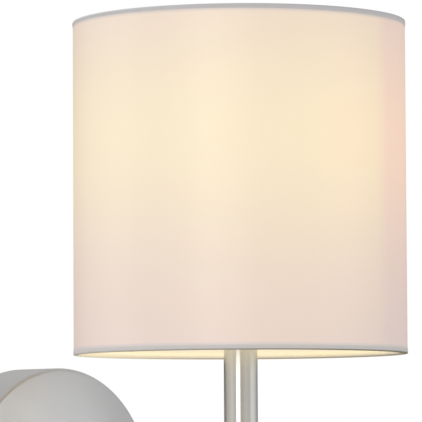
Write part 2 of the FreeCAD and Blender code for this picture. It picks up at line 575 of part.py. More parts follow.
def lampholder():
    """An E27 holder on the stem: bush, nipple, nut, cap, body, seat, screw shell, contact and rings."""
    bush_foot = (0, STEM_Y, f"{STEM_TOP} - bush_length")
    node(ring(f"{TUBE_BORE_R} - fit_clearance", NIPPLE_FIT_R, "bush_length", bush_foot), "stem_bush")
    node(ring("nipple_diameter / 2", "nipple_bore / 2",
              "bush_length + holder_wall + nut_thickness + nipple_end", bush_foot), "holder_nipple")
    nut_at = (0, STEM_Y, f"{STEM_TOP} + holder_wall")
    node(cut(hexagon("nut_flats", "nut_thickness", nut_at), cylinder(NIPPLE_FIT_R, "nut_thickness", nut_at)),
         "holder_nut")
    node(turned([
        (NIPPLE_FIT_R, 0), (f"{HOLDER_R} - holder_chamfer", 0), (HOLDER_R, "holder_chamfer"),
        (HOLDER_R, "holder_cap_height"), (HOLDER_BORE_R, "holder_cap_height"),
        (HOLDER_BORE_R, "holder_wall + holder_chamfer"), (f"{HOLDER_BORE_R} - holder_chamfer", "holder_wall"),
        (NIPPLE_FIT_R, "holder_wall"),
    ], (0, STEM_Y, STEM_TOP)), "holder_cap")
    node(ring(HOLDER_R, HOLDER_BORE_R, "holder_body_height", (0, STEM_Y, BODY_BASE)), "holder_body")
    node(cylinder(f"{HOLDER_BORE_R} - fit_clearance", "seat_height", (0, STEM_Y, BODY_BASE)), "holder_seat")
    shell_r = "(bulb_cap_diameter / 2 + hole_clearance)"
    node(ring(f"{shell_r} + shell_wall", shell_r, "shell_height", (0, STEM_Y, SEAT_TOP)), "screw_shell")
    node(cylinder("contact_diameter / 2", "contact_height", (0, STEM_Y, SEAT_TOP)), "centre_contact")
    for name, height in (
        ("shade_ring_lower", CLAMP_Z),
        ("shade_ring_upper", f"{FITTER_Z} + fitter_thickness"),
    ):
        node(ring("clamp_diameter / 2", f"{HOLDER_R} + fit_clearance", "clamp_height",
                  (0, STEM_Y, height)), name)


# ---- Bulb ----

def bulb():
    """An opal LED bulb: tip, glass ring, screw cap, tapered body, driver, board and dome."""
    cap_r = "(bulb_cap_diameter / 2)"
    node(cylinder("bulb_tip_diameter / 2", "bulb_tip_height", (0, STEM_Y, BULB_BASE)), "bulb_tip")
    node(turned([
        (0, 0), ("bulb_tip_diameter / 2", 0), (cap_r, "bulb_glass_height"), (0, "bulb_glass_height"),
    ], (0, STEM_Y, f"{BULB_BASE} + bulb_tip_height")), "bulb_insulator")
    node(ring(cap_r, f"{cap_r} - shell_wall", "bulb_cap_height", (0, STEM_Y, BULB_CAP_Z)), "bulb_cap")
    length = f"({DOME_Z} - {BULB_BODY_Z})"
    neck_r = "(bulb_neck_diameter / 2)"
    shoulder_r = f"(({neck_r} + {DOME_EDGE_R}) / 2)"
    node(turned([
        (f"{neck_r} - bulb_wall", 0), (neck_r, 0), (neck_r, f"{length} / 6"), (shoulder_r, f"{length} / 2"),
        (DOME_EDGE_R, length), (f"{DOME_EDGE_R} - 2 * bulb_wall", length),
        (f"{shoulder_r} - bulb_wall", f"{length} / 2"),
        (f"{neck_r} - bulb_wall", f"{length} / 6"),
    ], (0, STEM_Y, BULB_BODY_Z)), "bulb_body")
    node(cylinder(f"{DOME_EDGE_R} - 1.5 * bulb_wall", "board_thickness", (0, STEM_Y, DOME_Z)), "led_board")
    driver_at = ("-driver_width / 2", f"{STEM_Y} - board_thickness / 2", f"{DOME_Z} - driver_height")
    node(block(("driver_width", "board_thickness", "driver_height"), driver_at), "led_driver")
    skins = []
    for radius in (BULB_R, f"({BULB_R} - dome_wall)"):
        skin = doc.addObject("Part::Sphere", "Skin")
        bind(skin, Radius=radius, Angle1=f"-asin(dome_below_centre / {radius})")
        skins.append(place(skin, (0, STEM_Y, DOME_CENTRE_Z)))
    node(cut(*skins), "bulb_dome")


# ---- Shade ----

def shade():
    """A drum of fabric on a stiff liner, with a wire ring in each rim and a tape folded over it."""
    wire_lift = "(trim_thickness + glue_gap + wire_diameter / 2)"
    bottom_wire_z = f"(shade_bottom + {wire_lift})"
    node(hoop(bottom_wire_z), "bottom_wire")
    node(hoop(f"{SHADE_TOP} - {wire_lift}"), "top_wire")
    carrier(f"{bottom_wire_z} + wire_diameter / 2")
    height = "shade_height - 2 * trim_thickness"
    base = "shade_bottom + trim_thickness"
    node(ring(SHADE_R, f"{SHADE_R} - fabric_thickness", height, (0, STEM_Y, base)), "shade_fabric")
    node(ring(LINER_R, LINER_INNER_R, height, (0, STEM_Y, base)), "shade_liner")
    inner_leg = "(trim_thickness + glue_gap + wire_diameter)"
    inside_r = f"({TRIM_INNER_R} - trim_thickness)"
    outside_r = f"({SHADE_R} + glue_gap)"
    for name, edge, along in (("bottom_trim", "shade_bottom", "+Z"), ("top_trim", SHADE_TOP, "-Z")):
        node(turned([
            (inside_r, 0), (f"{outside_r} + trim_thickness", 0),
            (f"{outside_r} + trim_thickness", "trim_height"), (outside_r, "trim_height"),
            (outside_r, "trim_thickness"), (TRIM_INNER_R, "trim_thickness"), (TRIM_INNER_R, inner_leg),
            (inside_r, inner_leg),
        ], (0, STEM_Y, edge), along), name)


def hoop(height):
    wire = doc.addObject("Part::Torus", "Hoop")
    bind(wire, Radius1=WIRE_CIRCLE_R, Radius2="wire_diameter / 2")
    return place(wire, (0, STEM_Y, height))


def carrier(foot_z):
    """The hub that the shade rings clamp, and the three spokes welded between it and the bottom wire."""
    hub_r = f"({HOLDER_R} + hole_clearance + fitter_width)"
    node(ring(hub_r, f"{HOLDER_R} + hole_clearance", "fitter_thickness", (0, STEM_Y, FITTER_Z)), "shade_hub")
    spoke_z = f"{FITTER_Z} + fitter_thickness / 2"
    spokes = []
    for turn in (90, 210, 330):
        spots = [(hub_r, spoke_z), (WIRE_CIRCLE_R, spoke_z), (WIRE_CIRCLE_R, foot_z)]
        spokes.append(swept([
            (f"cos({turn}) * {radius}", f"{STEM_Y} + sin({turn}) * {radius}", height)
            for radius, height in spots
        ], "spoke_diameter", "spoke_bend"))
    node(group(*spokes), "shade_spokes")


def check_and_export():
    """Stops on a failed object or a bad shape, then writes each sub-part to its own file."""
    doc.recompute()
    for thing in doc.Objects:
        if any(word in thing.State for word in ("Invalid", "Error")):
            raise RuntimeError(f"{thing.Name} ({thing.Label}) failed: {thing.State}")
    for thing in nodes:
        if thing.Shape.isNull() or not thing.Shape.isValid() or not thing.Shape.Solids:
            raise RuntimeError(f"{thing.Label} has no valid shape")
    os.makedirs("parts", exist_ok=True)
    for thing in nodes:
        thing.Shape.exportStep(f"parts/{thing.Label}.step")
        box = thing.Shape.optimalBoundingBox(False)
        spans = "  ".join(f"{low:8.2f} {high:8.2f}" for low, high in (
            (box.XMin, box.XMax), (box.YMin, box.YMax), (box.ZMin, box.ZMax)))
        print(f"{thing.Label:18} {len(thing.Shape.Solids)} solid(s) {thing.Shape.Volume:10.1f} mm3  {spans}")


fill_sheet()
wall_plate()
mounting_strap()
side_screws()
terminals()
leads()
switch()
neck()
lower_barrel()
pivot()
upper_barrel()
arm()
cables()
lampholder()
bulb()
shade()
check_and_export()
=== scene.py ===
"""Looks of a swing-arm wall lamp: satin nickel metalwork, a lit drum shade of white cotton and its fittings.

Lengths are metres in the lamp's own frame: Z is up, the wall is the plane y = 0 and the lamp stands out
from it towards -Y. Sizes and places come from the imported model's boxes.
"""

import json
import math

import bmesh
import bpy
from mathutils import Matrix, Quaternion, Vector, noise

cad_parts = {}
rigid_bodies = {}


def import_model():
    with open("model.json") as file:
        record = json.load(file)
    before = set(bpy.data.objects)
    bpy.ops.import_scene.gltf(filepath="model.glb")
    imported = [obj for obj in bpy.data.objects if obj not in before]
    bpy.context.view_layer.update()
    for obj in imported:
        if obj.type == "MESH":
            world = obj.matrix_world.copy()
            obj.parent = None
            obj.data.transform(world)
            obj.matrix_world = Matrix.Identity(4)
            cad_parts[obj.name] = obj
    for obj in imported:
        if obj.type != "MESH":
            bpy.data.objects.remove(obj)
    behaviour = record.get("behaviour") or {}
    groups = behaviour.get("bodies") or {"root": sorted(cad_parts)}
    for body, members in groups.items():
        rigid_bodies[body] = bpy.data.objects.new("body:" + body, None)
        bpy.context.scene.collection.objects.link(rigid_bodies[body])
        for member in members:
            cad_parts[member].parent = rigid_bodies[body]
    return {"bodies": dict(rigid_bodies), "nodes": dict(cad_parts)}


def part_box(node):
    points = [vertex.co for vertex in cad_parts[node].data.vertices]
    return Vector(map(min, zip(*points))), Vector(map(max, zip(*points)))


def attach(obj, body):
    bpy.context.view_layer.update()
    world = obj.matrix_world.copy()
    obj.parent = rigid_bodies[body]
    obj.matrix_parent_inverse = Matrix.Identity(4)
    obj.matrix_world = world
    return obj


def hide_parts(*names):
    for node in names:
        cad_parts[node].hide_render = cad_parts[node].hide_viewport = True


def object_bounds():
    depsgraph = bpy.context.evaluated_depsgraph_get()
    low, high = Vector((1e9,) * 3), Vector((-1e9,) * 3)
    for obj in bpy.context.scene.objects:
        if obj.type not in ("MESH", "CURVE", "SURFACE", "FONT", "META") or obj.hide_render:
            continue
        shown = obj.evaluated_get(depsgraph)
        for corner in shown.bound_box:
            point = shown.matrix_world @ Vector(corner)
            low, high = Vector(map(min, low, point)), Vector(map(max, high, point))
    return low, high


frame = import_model()
cad_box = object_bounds()
nodes = frame["nodes"]

MM = 0.001
TURN = 2 * math.pi

# ---------------------------------------------------------------- places read from the frame

cloth_low, cloth_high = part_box("shade_fabric")
SHADE_CENTRE = (cloth_low + cloth_high) / 2
SHADE_R = (cloth_high.x - cloth_low.x) / 2
SHADE_HEIGHT = cloth_high.z - cloth_low.z
dome_low, dome_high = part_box("bulb_dome")
DOME_R = (dome_high.x - dome_low.x) / 2
DOME_CENTRE = Vector((SHADE_CENTRE.x, SHADE_CENTRE.y, dome_high.z - DOME_R))
PLATE_FACE_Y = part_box("wall_plate")[0].y
BOTTOM_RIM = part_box("bottom_trim")[0].z
TOP_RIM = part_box("top_trim")[1].z

# ---------------------------------------------------------------- camera

EYE_TURN = math.radians(44.0)   # how far the eye stands round from the lamp's front, towards -X
EYE_DISTANCE = 2.077            # level distance from the shade's axis
EYE_HEIGHT = 0.0095             # above the wall plate's centre
AIM_ASIDE = -0.0154             # from the shade's centre, to the eye's right
AIM_UP = -0.0121                # the same, upwards
LENS = 332.0                    # millimetres
ROLL = -0.0053                  # radians
CLIP_NEAR = EYE_DISTANCE / 100
CLIP_FAR = EYE_DISTANCE * 10

forward = Vector((math.sin(EYE_TURN), math.cos(EYE_TURN), 0))
aside = Vector((math.cos(EYE_TURN), -math.sin(EYE_TURN), 0))


def camera():
    """A long lens a little below the shade, looking slightly up at it."""
    eye = SHADE_CENTRE - forward * EYE_DISTANCE
    eye.z = EYE_HEIGHT
    aim = SHADE_CENTRE + aside * AIM_ASIDE + Vector((0, 0, AIM_UP))
    lens = bpy.data.cameras.new("camera")
    lens.lens = LENS
    lens.clip_start = CLIP_NEAR
    lens.clip_end = CLIP_FAR
    thing = bpy.data.objects.new("camera", lens)
    bpy.context.scene.collection.objects.link(thing)
    thing.location = eye
    thing.rotation_mode = "QUATERNION"
    thing.rotation_quaternion = (aim - eye).to_track_quat("-Z", "Y") @ Quaternion((0, 0, 1), ROLL)
    bpy.context.scene.camera = thing


# ---------------------------------------------------------------- node helpers

NOISE_RANGE = (0.3, 0.7)        # where nearly all of a noise's values lie


def rgba(colour, share=1.0):
    """A colour times a share, with its alpha."""
    return (*[part * share for part in colour], 1)


def grey(level, warmth=0.0):
    """A grey with a little red added and blue taken away, or the other way round."""
    return (level * (1 + warmth), level, level * (1 - warmth))


class Nodes:
    """A node tree with short calls that add its nodes and join them."""

    def __init__(self, tree):
        self.tree = tree

    def add(self, kind, inputs=None, **settings):
        """A new node. inputs are for its sockets, and settings are its own properties."""
        made = self.tree.nodes.new(kind)
        for name, value in settings.items():
            setattr(made, name, value)
        for name, value in (inputs or {}).items():
            self.put(made.inputs[name], value)
        return made

    def put(self, socket, value):
        """Joins a socket to another one, or gives it a plain value."""
        if isinstance(value, bpy.types.NodeSocket):
            self.tree.links.new(value, socket)
        else:
            socket.default_value = value

    def maths(self, operation, *values, clamp=False):
        made = self.add("ShaderNodeMath", operation=operation, use_clamp=clamp)
        for socket, value in zip(made.inputs, values):
            self.put(socket, value)
        return made.outputs[0]

    def vector(self, operation, *values):
        made = self.add("ShaderNodeVectorMath", operation=operation)
        for socket, value in zip(made.inputs, values):
            self.put(socket, value)
        return made.outputs["Value" if operation in ("LENGTH", "DOT_PRODUCT") else "Vector"]

    def spans(self, value, low, high, new_low=0.0, new_high=1.0, smooth=False):
        """Goes from new_low to new_high as the value goes from low to high, and stays there beyond."""
        made = self.add("ShaderNodeMapRange", {
            "Value": value, "From Min": low, "From Max": high, "To Min": new_low, "To Max": new_high,
        }, interpolation_type="SMOOTHSTEP" if smooth else "LINEAR")
        return made.outputs["Result"]

    def uneven(self, pattern, low, high):
        """A noise's usual range, turned into the numbers from low to high."""
        return self.spans(pattern, *NOISE_RANGE, low, high)

    def mix(self, share, first, second):
        """A colour between two. The node's sockets 6 and 7 are its colours, and 2 is its result."""
        made = self.add("ShaderNodeMix", {0: share, 6: first, 7: second}, data_type="RGBA")
        return made.outputs[2]

    def ramp(self, value, stops):
        """Colours at places from 0 to 1, with straight changes between them."""
        made = self.add("ShaderNodeValToRGB", {"Fac": value})
        made.color_ramp.interpolation = "LINEAR"
        points = made.color_ramp.elements
        while len(points) < len(stops):
            points.new(0.5)
        for point, (place, colour) in zip(points, stops):
            point.position = place
            point.color = rgba(colour)
        return made.outputs["Color"]

    def speckle(self, where, scale, detail=2.0, stretch=(1, 1, 1)):
        """Noise from 0 to 1 at a place. scale is in lumps for each metre, and stretch is a share of it."""
        place = self.vector("MULTIPLY", where, stretch)
        made = self.add("ShaderNodeTexNoise", {"Vector": place, "Scale": scale, "Detail": detail})
        return made.outputs["Fac"]


class Finish(Nodes):
    """A Principled material whose patterns are worked out from places on the object."""

    def __init__(self, name, **plain):
        """plain holds what is the same all over, by the name of the shader's socket."""
        self.material = bpy.data.materials.new(name)
        self.material.use_nodes = True
        super().__init__(self.material.node_tree)
        self.shader = self.tree.nodes["Principled BSDF"]
        for socket, value in plain.items():
            self.give(socket.replace("_", " ").title(), value)
        self.where = self.add("ShaderNodeTexCoord").outputs["Object"]

    def give(self, socket, value):
        self.put(self.shader.inputs[socket], value)

    def paint(self, tone, colour, shares):
        """The base colour, from the first to the second share of a colour as the tone goes from 0 to 1."""
        self.give("Base Color", self.mix(tone, *[rgba(colour, share) for share in shares]))

    def roughen(self, pattern, roughness, shares):
        """The roughness, from the first to the second share of a number over a noise's usual range."""
        self.give("Roughness", self.uneven(pattern, *[roughness * share for share in shares]))

    def bump(self, height, depth, strength):
        made = self.add("ShaderNodeBump", {"Height": height, "Distance": depth, "Strength": strength})
        self.give("Normal", made.outputs["Normal"])

    def brush(self, rings, axis):
        """The feel of fine rings about an axis: reflections spread across them."""
        self.give("Tangent", self.add("ShaderNodeTangent", direction_type="RADIAL", axis=axis).outputs[0])
        self.bump(rings, RING_DEPTH, RING_STRENGTH)


# ---------------------------------------------------------------- light

# How bright and how warm the room is at eye level, by degrees round from the eye: minus is to its left.
ROOM = (
    (-180, 0.02, 0.02), (-158, 0.05, 0.02), (-142, 0.17, 0.02), (-122, 0.40, 0.02), (-104, 0.57, 0.02),
    (-84, 0.66, 0.02), (-62, 0.78, 0.02), (-48, 0.67, 0.02), (-37, 0.60, 0.02), (-32, 0.60, 0.01),
    (-30, 2.20, 0.0), (-17, 2.40, 0.0), (-6, 2.20, 0.0), (-4, 0.60, 0.01), (8, 0.47, 0.02),
    (20, 0.60, 0.03), (40, 0.65, 0.03), (58, 0.58, 0.01), (66, 0.66, 0.0), (80, 0.92, -0.01),
    (100, 0.81, -0.015), (122, 0.59, -0.01), (138, 0.40, 0.0), (160, 0.23, 0.0), (180, 0.04, 0.02),
)
CEILING = 0.80
CEILING_STARTS = 0.12           # the upward part of a direction where the ceiling begins to show
CEILING_FULL = 0.40             # and where nothing but the ceiling shows


def studio():
    """A soft room of panels that lights the lamp and shows in its metal, and a white sweep for the camera."""
    world = bpy.data.worlds.new("studio")
    bpy.context.scene.world = world
    world.use_nodes = True
    world.node_tree.nodes.clear()
    made = Nodes(world.node_tree)
    way = made.add("ShaderNodeTexCoord").outputs["Generated"]
    turned_by = made.maths("ARCTAN2", made.vector("DOT_PRODUCT", way, tuple(aside)),
                           made.vector("DOT_PRODUCT", way, tuple(-forward)))
    share = made.spans(turned_by, -math.pi, math.pi)
    panels = made.ramp(share, [(degrees / 360 + 0.5, grey(level, warmth)) for degrees, level, warmth in ROOM])
    upward = made.add("ShaderNodeSeparateXYZ", {"Vector": way}).outputs["Z"]
    overhead = made.spans(upward, CEILING_STARTS, CEILING_FULL, smooth=True)
    room = made.add("ShaderNodeBackground", {"Color": made.mix(overhead, panels, rgba(grey(CEILING)))})
    sweep = made.add("ShaderNodeBackground", {"Color": rgba(grey(1.0))})
    seen = made.add("ShaderNodeLightPath").outputs["Is Camera Ray"]
    both = made.add("ShaderNodeMixShader", {0: seen, 1: room.outputs[0], 2: sweep.outputs[0]})
    made.add("ShaderNodeOutputWorld", {"Surface": both.outputs[0]})


def light(kind, name, power, softness):
    """A lamp of Blender's own that the camera doesn't see, and the object that holds it."""
    lamp = bpy.data.lights.new(name, kind)
    lamp.energy = power
    lamp.shadow_soft_size = softness
    thing = bpy.data.objects.new(name, lamp)
    bpy.context.scene.collection.objects.link(thing)
    thing.visible_camera = False
    return lamp, thing


BULB_POWER = 0.16
BULB_COLOUR = (1.0, 0.80, 0.50)
BULB_SOFTNESS = 10 * MM


def bulb_light():
    """The lit bulb: a warm ball of light inside its dome, which casts no shadow of its own."""
    lamp, thing = light("POINT", "bulb_light", BULB_POWER, BULB_SOFTNESS)
    lamp.color = BULB_COLOUR
    thing.location = DOME_CENTRE
    thing.parent = frame["bodies"]["arm"]
    nodes["bulb_dome"].visible_shadow = False


PLATE_SPOT = Vector((-0.042, PLATE_FACE_Y, 0.016))  # where on the plate's face the light is aimed
PLATE_LIGHT_AWAY = 1.0
PLATE_LIGHT_POWER = 3.5
PLATE_LIGHT_CONE = math.radians(5.0)
PLATE_LIGHT_SOFTNESS = 0.05


def plate_light():
    """A narrow soft light from the lamp's right. The wall plate's satin face reflects it towards the eye."""
    lamp, thing = light("SPOT", "plate_light", PLATE_LIGHT_POWER, PLATE_LIGHT_SOFTNESS)
    lamp.spot_size = PLATE_LIGHT_CONE
    lamp.spot_blend = 1.0
    towards = Vector((-forward.x, forward.y, 0))
    thing.location = PLATE_SPOT - towards * PLATE_LIGHT_AWAY
    thing.rotation_mode = "QUATERNION"
    thing.rotation_quaternion = towards.to_track_quat("-Z", "Y")


FLOOR_BELOW = 1.45
FLOOR_RADIUS = 20.0
FLOOR_TONES = (0.80, 0.84)


def floor():
    """A plain pale floor some way under the lamp."""
    mesh = bpy.data.meshes.new("floor")
    shape = bmesh.new()
    bmesh.ops.create_circle(shape, cap_ends=True, segments=64, radius=FLOOR_RADIUS)
    shape.to_mesh(mesh)
    shape.free()
    thing = bpy.data.objects.new("floor", mesh)
    thing.location.z = cad_box[0].z - FLOOR_BELOW
    bpy.context.scene.collection.objects.link(thing)
    paint = Finish("floor_paint", roughness=0.8)
    tone = paint.speckle(paint.where, 3.0)
    paint.give("Base Color", paint.mix(tone, *[rgba(grey(level)) for level in FLOOR_TONES]))
    mesh.materials.append(paint.material)
    thing.visible_glossy = False


# ---------------------------------------------------------------- finishes of metal, plastic and ceramic

RING_PITCH = 0.5 * MM           # the fine rings that brushing leaves
RING_DEPTH = 0.0015 * MM
RING_STRENGTH = 0.35
RING_DETAIL = 3.0
RING_STRETCH = 0.02             # how slowly they change along themselves, as a share of across

# Lumps of unevenness in each metre of a finish.
BRUSHED_PATCHES = 60.0
FACE_PATCHES = 45.0
STAINS = 250.0
HANDLING_MARKS = 4000.0
MOULDED_PATCHES = 90.0
MOULDED_GRAIN = 3000.0
DOME_PATCHES = 80.0
INSULATION_GRAIN = 2500.0

# The lowest and highest share of its colour and of its roughness that a finish has.
BRUSHED_TONES = (0.93, 1.05)
BRUSHED_ROUGHNESS = (0.92, 1.08)
FACE_TONES = (0.96, 1.04)
FACE_ROUGHNESS = (0.94, 1.06)
STAINED_TONES = (0.92, 1.0)
STAINED_ROUGHNESS = (0.92, 1.1)
MOULDED_TONES = (0.94, 1.0)
MOULDED_ROUGHNESS = (0.92, 1.08)

MARK_DEPTH = 0.01 * MM          # how deep fine marks and grain are
MATT_DEPTH = 0.012 * MM
GLOSS_DEPTH = 0.004 * MM


def brushed(name, colour, roughness, axis):
    """Metal brushed in rings about an axis, so that its reflections spread along the axis."""
    finish = Finish(name, metallic=1.0, anisotropic=0.75, anisotropic_rotation=0.25)
    stretch = [1.0 if each == axis else RING_STRETCH for each in "XYZ"]
    rings = finish.speckle(finish.where, 1 / RING_PITCH, RING_DETAIL, stretch)
    patches = finish.speckle(finish.where, BRUSHED_PATCHES, 4.0)
    tone = finish.maths("MULTIPLY_ADD", rings, 0.5, finish.maths("MULTIPLY", patches, 0.5))
    finish.paint(tone, colour, BRUSHED_TONES)
    finish.roughen(patches, roughness, BRUSHED_ROUGHNESS)
    finish.brush(rings, axis)
    return finish.material


def turned_face(name, colour, roughness):
    """Metal whose face was brushed in circles about the Y axis."""
    finish = Finish(name, metallic=1.0, anisotropic=0.6, anisotropic_rotation=0.25)
    out = finish.vector("LENGTH", finish.vector("MULTIPLY", finish.where, (1, 0, 1)))
    place = finish.add("ShaderNodeCombineXYZ", {"X": out}).outputs[0]
    sweep = finish.vector("ADD", place, finish.vector("MULTIPLY", finish.where, [RING_STRETCH] * 3))
    rings = finish.speckle(sweep, 1 / RING_PITCH, RING_DETAIL)
    patches = finish.speckle(finish.where, FACE_PATCHES, 4.0)
    tone = finish.maths("MULTIPLY_ADD", rings, 0.4, finish.maths("MULTIPLY", patches, 0.6))
    finish.paint(tone, colour, FACE_TONES)
    finish.roughen(patches, roughness, FACE_ROUGHNESS)
    finish.brush(rings, "Y")
    return finish.material


def plain_metal(name, colour, roughness):
    """Plated or bare metal with faint stains and handling marks."""
    finish = Finish(name, metallic=1.0)
    stains = finish.speckle(finish.where, STAINS, 4.0)
    finish.paint(stains, colour, STAINED_TONES)
    finish.roughen(stains, roughness, STAINED_ROUGHNESS)
    finish.bump(finish.speckle(finish.where, HANDLING_MARKS), MARK_DEPTH, 0.4)
    return finish.material


def moulded(name, colour, roughness, depth=MATT_DEPTH):
    """Moulded plastic, glass or ceramic: fine grain and a little unevenness of tone."""
    finish = Finish(name)
    finish.paint(finish.speckle(finish.where, MOULDED_PATCHES, 3.0), colour, MOULDED_TONES)
    grain = finish.speckle(finish.where, MOULDED_GRAIN)
    finish.roughen(grain, roughness, MOULDED_ROUGHNESS)
    finish.bump(grain, depth, 0.5)
    return finish.material


def opal():
    """The bulb's lit dome."""
    finish = Finish("opal_lit", base_color=(0.55, 0.53, 0.48, 1), roughness=0.3, emission_strength=0.55)
    tone = finish.speckle(finish.where, DOME_PATCHES)
    finish.give("Emission Color", finish.mix(tone, (1.0, 0.84, 0.58, 1), (1.0, 0.87, 0.64, 1)))
    return finish.material


GREEN = (0.05, 0.28, 0.07)
YELLOW = (0.75, 0.62, 0.05)
STRIPE_TURN = 900.0             # radians for each metre
STRIPE_EDGE = 0.1


def earth_stripes():
    """Green insulation with a yellow stripe that winds round it."""
    finish = Finish("earth_insulation", roughness=0.45)
    parts = finish.add("ShaderNodeSeparateXYZ", {"Vector": finish.where})
    slant = finish.maths("ADD", parts.outputs["X"], parts.outputs["Z"])
    wind = finish.maths("SINE", finish.maths("MULTIPLY", slant, STRIPE_TURN))
    stripe = finish.spans(wind, -STRIPE_EDGE, STRIPE_EDGE)
    finish.give("Base Color", finish.mix(stripe, rgba(GREEN), rgba(YELLOW)))
    finish.bump(finish.speckle(finish.where, INSULATION_GRAIN), MARK_DEPTH, 0.4)
    return finish.material


# ---------------------------------------------------------------- finishes of the shade

# The cloth's own tone, and how much its threads, its slubs and its broad streaks change it.
CLOTH_ALBEDO = 0.775
THREAD_TONE = 0.012
SLUB_TONE = 0.008
STREAK_TONE = 0.012
THREAD_PITCH = 0.42 * MM
THREAD_DEPTH = 0.03 * MM
THREAD_LUMPS = 900.0            # a thread's unevenness, in lumps for each metre
THREAD_WOBBLE = 1.4             # and how many radians of the weave it moves the thread by
SLUB_LUMPS = 28.0
SLUB_STRETCH = 0.12             # how slowly slubs change up the shade, as a share of round it
STREAKS = math.radians(42.7)    # how far apart the broad streaks are, and where one is darkest
STREAK_AT = math.radians(-72.6)

# Where the cloth's looks change, in degrees round the shade from its front towards +X: (from, to).
# Painted light: the cloth is tinted cooler on its left and warmer towards its right, as if by the room's
# light.
WARM_LIGHT_SIDE = (-122, -2)          # from the cool painted light to the warm one
SIDE_BAND_STARTS = (8, 19)            # a band round the shade's front right and right side, a little dimmer and with a pinker glow
SIDE_BAND_ENDS = (105, 43)
RIGHT_STARTS = (-35, 5)         # the lamp's front right
RIGHT_ENDS = (145, 43)
# The cloth's painted cool and warm light tints, and the side band's dimmer tone.
CLOTH_COOL_LIGHT = (0.985, 0.98, 1.04)
CLOTH_WARM_LIGHT = (1.0, 0.98, 0.97)
CLOTH_SIDE_BAND = (0.96, 0.96, 0.95)

# What comes through the cloth far from the bulb and near it: all round, to the lamp's front right, and in the
# band round its right side.
GLOW = ((0.19, 0.05, 0.01), (0.37, 0.243, 0.01))
GLOW_RIGHT = ((0.12, 0.015, 0.01), (0.40, 0.235, 0.01))
GLOW_SIDE_BAND = ((0.105, 0.02, 0.02), (0.39, 0.15, 0.015))
GLOW_FALL = 3.0                 # the power of the distance by which it falls
GLOW_UNEVEN = 1.5               # how much more than the cloth's own tone it changes
# The backing's glow inside, far from the bulb and near it, where the bulb's own light is added.
GLOW_INSIDE = ((0.56, 0.52, 0.40), (0.40, 0.34, 0.22))
BACKING_TONES = ((0.50, 0.47, 0.42), (0.54, 0.51, 0.46))
BACKING_PATCHES = 60.0
BACKING_GRAIN = 2000.0

TAPE_LEG = 2.6 * MM             # how far the bottom edge's tape reaches outside from its rim
TOP_LEG = (2.0 * MM, 2.8 * MM)  # the same for the top edge's tape, at its pale side and opposite
TAPE_SHADOW = 1.4 * MM          # how far a tape's edge dims the cloth beside it
TAPE_DIMMED = 0.45              # the share of the glow that is left at its edge
TAPE_PALE = (0.725, 0.705, 0.69)
TAPE_GREY = (0.645, 0.63, 0.635)
TAPE_PITCH = 0.7 * THREAD_PITCH
TAPE_THREAD_DEPTH = 0.05 * MM
TAPE_PATCHES = 120.0
# Painted light: on one side of the shade the tapes are made lighter, and their fold line and inner leg
# brighter, as if lit from there.
LIT_SIDE_TURN = math.radians(-137)  # where the tapes are palest, round the shade from its front towards +X
LIT_SIDE = Vector((math.sin(LIT_SIDE_TURN), -math.cos(LIT_SIDE_TURN), 0))
LIT_SIDE_TONES = (0.925, 1.03)      # the share of its colour that a tape has opposite its pale side, and there
# Measures in from the rim: where the painted shade line along the fold is full and where it ends, and where
# the light through the outer leg and through the inner leg starts and is full.
FOLD_SHADE_SPAN = (0.25 * MM, 0.85 * MM)
OUTER_SPAN = (1.2 * MM, TAPE_LEG)
INNER_SPAN = (0.3 * MM, 2.6 * MM)
# Painted shade: the share of its colour that each tape keeps in the dark line along its fold; the pale tape's
# is warm, as if dimly lit through.
FOLD_SHADE_PALE_TAPE = (0.36, 0.31, 0.22)    # the share of its colour that each tape keeps in the dark line
FOLD_SHADE_GREY_TAPE = (0.85, 0.85, 0.85)
FOLD_SHADE_LIT_LIFT = 0.5               # how much more it keeps at its pale side
GLOW_TAPE = (0.055, 0.032, 0.015)   # what comes through the outer leg, and through the inner one
GLOW_FOLD = (0.56, 0.44, 0.20)
FOLD_LEAST = 0.3                # the share of the inner leg's light that there is at the rim
FOLD_LIT_SIDE = 0.8                 # and the least share of it at the pale side
INSIDE_FULL = 2.6 * MM          # how far in from the cloth's face a tape is all inner leg, and all outer
INSIDE_STARTS = 1.2 * MM


class ShadeFinish(Finish):
    """A finish of the shade, which knows how far round the shade and how far up it each place is."""

    def __init__(self, name, **plain):
        super().__init__(name, **plain)
        place = self.vector("SUBTRACT", self.where, tuple(SHADE_CENTRE))
        parts = self.add("ShaderNodeSeparateXYZ", {"Vector": place})
        angle = self.maths("ARCTAN2", parts.outputs["X"], self.maths("MULTIPLY", parts.outputs["Y"], -1.0))
        self.across = self.maths("MULTIPLY", angle, SHADE_R)
        self.up = parts.outputs["Z"]
        self.outward = self.vector("MULTIPLY", place, (1, 1, 0))

    def weave(self, pitch):
        """Height of a plain weave: threads of uneven thickness that pass over and under each other."""
        lumps = self.speckle(self.where, THREAD_LUMPS)
        wobble = self.maths("MULTIPLY", lumps, THREAD_WOBBLE)
        warp = self.maths("SINE", self.maths("MULTIPLY_ADD", self.across, TURN / 2 / pitch, wobble))
        weft = self.maths("SINE", self.maths("MULTIPLY_ADD", self.up, TURN / 2 / pitch, wobble))
        return self.maths("MULTIPLY_ADD", self.maths("MULTIPLY", warp, weft), 0.5, 0.5)

    def near_bulb(self):
        """From 1 on the shade's wall beside the bulb towards 0 far from it."""
        away = self.vector("LENGTH", self.vector("SUBTRACT", self.where, tuple(DOME_CENTRE)))
        return self.maths("POWER", self.maths("DIVIDE", SHADE_R, away), GLOW_FALL, clamp=True)

    def lit_side_share(self):
        """From 1 at the side of the shade where the tapes carry painted light and are palest, to 0 at the
        side opposite.
        """
        towards = self.vector("DOT_PRODUCT", self.vector("NORMALIZE", self.outward), tuple(LIT_SIDE))
        return self.maths("MULTIPLY_ADD", towards, 0.5, 0.5)


